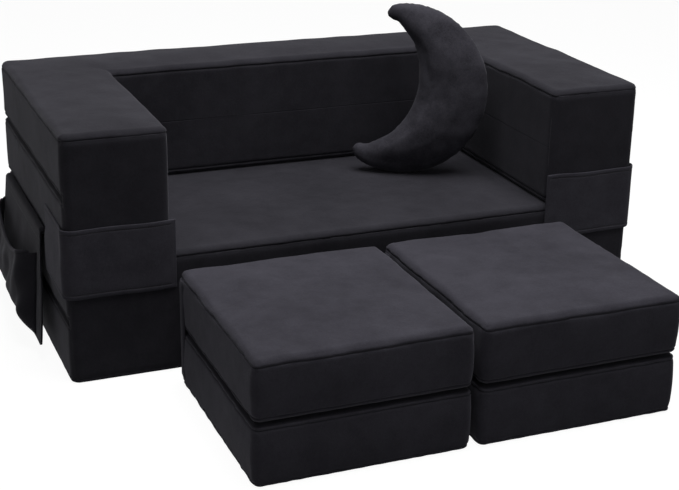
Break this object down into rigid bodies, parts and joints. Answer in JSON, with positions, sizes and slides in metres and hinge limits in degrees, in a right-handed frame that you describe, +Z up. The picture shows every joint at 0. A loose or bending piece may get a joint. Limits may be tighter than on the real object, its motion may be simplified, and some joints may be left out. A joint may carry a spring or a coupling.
{
  "type": "foam sofa bed",
  "caption": "Small velvet sofa of stacked foam layers that unfold into a bed, with folding ottomans, a side pocket and a moon-shaped pillow.",
  "frame": {"origin": "on the floor under the middle of the sofa's plan, without the ottomans", "axes": "+X along the sofa's width, to its own left as one sits, +Y towards its back, +Z up"},
  "size_m": [1.0482, 0.9089, 0.5049],
  "materials": {
    "velvet": "short-pile charcoal velvet",
    "band_velvet": "doubled charcoal velvet with stitched hems",
    "pocket_velvet": "charcoal velvet, stiffened, with stitched hems",
    "moon_velvet": "charcoal velvet with a mottled nap",
    "fold_fabric": "bare velvet across a fold",
    "foam": "open-cell polyurethane foam",
    "fill": "loose polyester fibre",
    "zip_tape": "woven tape with a nylon coil",
    "zip_slider": "black enamel",
    "hook_and_loop": "nylon hooks and loops"
  },
  "bodies": {
    "seat": {"seat_cover": "velvet", "seat_foam": "foam", "seat_zip": "zip_tape", "base_fold": "fold_fabric", "left_band_loops": "hook_and_loop", "right_band_loops": "hook_and_loop"},
    "base": {"base_cover": "velvet", "base_foam": "foam", "base_zip": "zip_tape"},
    "upper_low": {"upper_low_cover": "velvet", "upper_low_foam": "foam", "upper_low_zip": "zip_tape", "left_arm_fold": "fold_fabric", "right_arm_fold": "fold_fabric", "left_band_side": "band_velvet", "right_band_side": "band_velvet"},
    "upper_top": {"upper_top_cover": "velvet", "upper_top_foam": "foam", "upper_top_zip": "zip_tape"},
    "left_band": {"left_band_flap": "band_velvet", "left_band_hooks": "hook_and_loop"},
    "right_band": {"right_band_flap": "band_velvet", "right_band_hooks": "hook_and_loop"},
    "pocket": {"pocket_panel": "pocket_velvet", "pocket_pouch": "pocket_velvet", "pocket_binding": "pocket_velvet"},
    "pillow": {"moon_pillow_cover": "moon_velvet", "moon_pillow_fill": "fill"},
    "left_ottoman_low": {"left_ottoman_low_cover": "velvet", "left_ottoman_low_foam": "foam", "left_ottoman_low_zip": "zip_tape", "left_ottoman_fold": "fold_fabric"},
    "left_ottoman_top": {"left_ottoman_top_cover": "velvet", "left_ottoman_top_foam": "foam", "left_ottoman_top_zip": "zip_tape"},
    "right_ottoman_low": {"right_ottoman_low_cover": "velvet", "right_ottoman_low_foam": "foam", "right_ottoman_low_zip": "zip_tape", "right_ottoman_fold": "fold_fabric"},
    "right_ottoman_top": {"right_ottoman_top_cover": "velvet", "right_ottoman_top_foam": "foam", "right_ottoman_top_zip": "zip_tape"},
    "upper_top_slider": {"upper_top_slider": "zip_slider"},
    "upper_low_slider": {"upper_low_slider": "zip_slider"},
    "seat_slider": {"seat_slider": "zip_slider"},
    "base_slider": {"base_slider": "zip_slider"},
    "left_ottoman_top_slider": {"left_ottoman_top_slider": "zip_slider"},
    "left_ottoman_low_slider": {"left_ottoman_low_slider": "zip_slider"},
    "right_ottoman_top_slider": {"right_ottoman_top_slider": "zip_slider"},
    "right_ottoman_low_slider": {"right_ottoman_low_slider": "zip_slider"}
  },
  "joints": [
    {"name": "upper_lift", "type": "slide", "parent": "seat", "child": "upper_low", "axis": [0, 0, 1], "range_m": [0, 0.3]},
    {"name": "arms_unfold", "type": "hinge", "parent": "upper_low", "child": "upper_top", "pos_m": [0, -0.2592, 0.29985], "axis": [1, 0, 0], "range_deg": [0, 180], "deforming": ["left_arm_fold", "right_arm_fold"]},
    {"name": "base_unfold", "type": "hinge", "parent": "seat", "child": "base", "pos_m": [0, -0.258, 0.09985], "axis": [-1, 0, 0], "range_deg": [0, 180], "deforming": ["base_fold"]},
    {"name": "left_ottoman_slide", "type": "slide", "parent": "seat", "child": "left_ottoman_low", "axis": [0, -1, 0], "range_m": [0, 1.01]},
    {"name": "left_ottoman_unfold", "type": "hinge", "parent": "left_ottoman_low", "child": "left_ottoman_top", "pos_m": [-0.17, -0.3, 0.097], "axis": [-1, 0, 0], "range_deg": [0, 180], "deforming": ["left_ottoman_fold"]},
    {"name": "right_ottoman_slide", "type": "slide", "parent": "seat", "child": "right_ottoman_low", "axis": [0, -1, 0], "range_m": [0, 1.01]},
    {"name": "right_ottoman_unfold", "type": "hinge", "parent": "right_ottoman_low", "child": "right_ottoman_top", "pos_m": [0.17, -0.3, 0.097], "axis": [-1, 0, 0], "range_deg": [0, 180], "deforming": ["right_ottoman_fold"]},
    {"name": "left_band_open", "type": "hinge", "parent": "upper_low", "child": "left_band", "pos_m": [-0.477, -0.2602, 0.2], "axis": [0, 0, -1], "range_deg": [0, 178]},
    {"name": "right_band_open", "type": "hinge", "parent": "upper_low", "child": "right_band", "pos_m": [0.477, -0.2602, 0.2], "axis": [0, 0, 1], "range_deg": [0, 178]},
    {"name": "pocket_swing", "type": "hinge", "parent": "seat", "child": "pocket", "pos_m": [-0.49957, -0.1, 0.19985], "axis": [0, 1, 0], "range_deg": [0, 80]},
    {"name": "pillow_lift", "type": "slide", "parent": "seat", "child": "pillow", "axis": [0, 0, 1], "range_m": [0, 0.35]},
    {"name": "upper_top_zip_open", "type": "slide", "parent": "upper_top", "child": "upper_top_slider", "axis": [1, 0, 0], "range_m": [0, 0.68]},
    {"name": "upper_low_zip_open", "type": "slide", "parent": "upper_low", "child": "upper_low_slider", "axis": [1, 0, 0], "range_m": [0, 0.68]},
    {"name": "seat_zip_open", "type": "slide", "parent": "seat", "child": "seat_slider", "axis": [1, 0, 0], "range_m": [0, 0.68]},
    {"name": "base_zip_open", "type": "slide", "parent": "base", "child": "base_slider", "axis": [1, 0, 0], "range_m": [0, 0.68]},
    {"name": "left_ottoman_top_zip_open", "type": "slide", "parent": "left_ottoman_top", "child": "left_ottoman_top_slider", "axis": [0, -1, 0], "range_m": [0, 0.22]},
    {"name": "left_ottoman_low_zip_open", "type": "slide", "parent": "left_ottoman_low", "child": "left_ottoman_low_slider", "axis": [0, -1, 0], "range_m": [0, 0.22]},
    {"name": "right_ottoman_top_zip_open", "type": "slide", "parent": "right_ottoman_top", "child": "right_ottoman_top_slider", "axis": [0, -1, 0], "range_m": [0, 0.22]},
    {"name": "right_ottoman_low_zip_open", "type": "slide", "parent": "right_ottoman_low", "child": "right_ottoman_low_slider", "axis": [0, -1, 0], "range_m": [0, 0.22]}
  ],
  "couplings": [
    {"joint": "left_ottoman_slide", "follows": "base_unfold", "m_per_rad": 0.32},
    {"joint": "left_ottoman_unfold", "follows": "base_unfold", "ratio": 1},
    {"joint": "right_ottoman_slide", "follows": "base_unfold", "m_per_rad": 0.32},
    {"joint": "right_ottoman_unfold", "follows": "base_unfold", "ratio": 1}
  ]
}
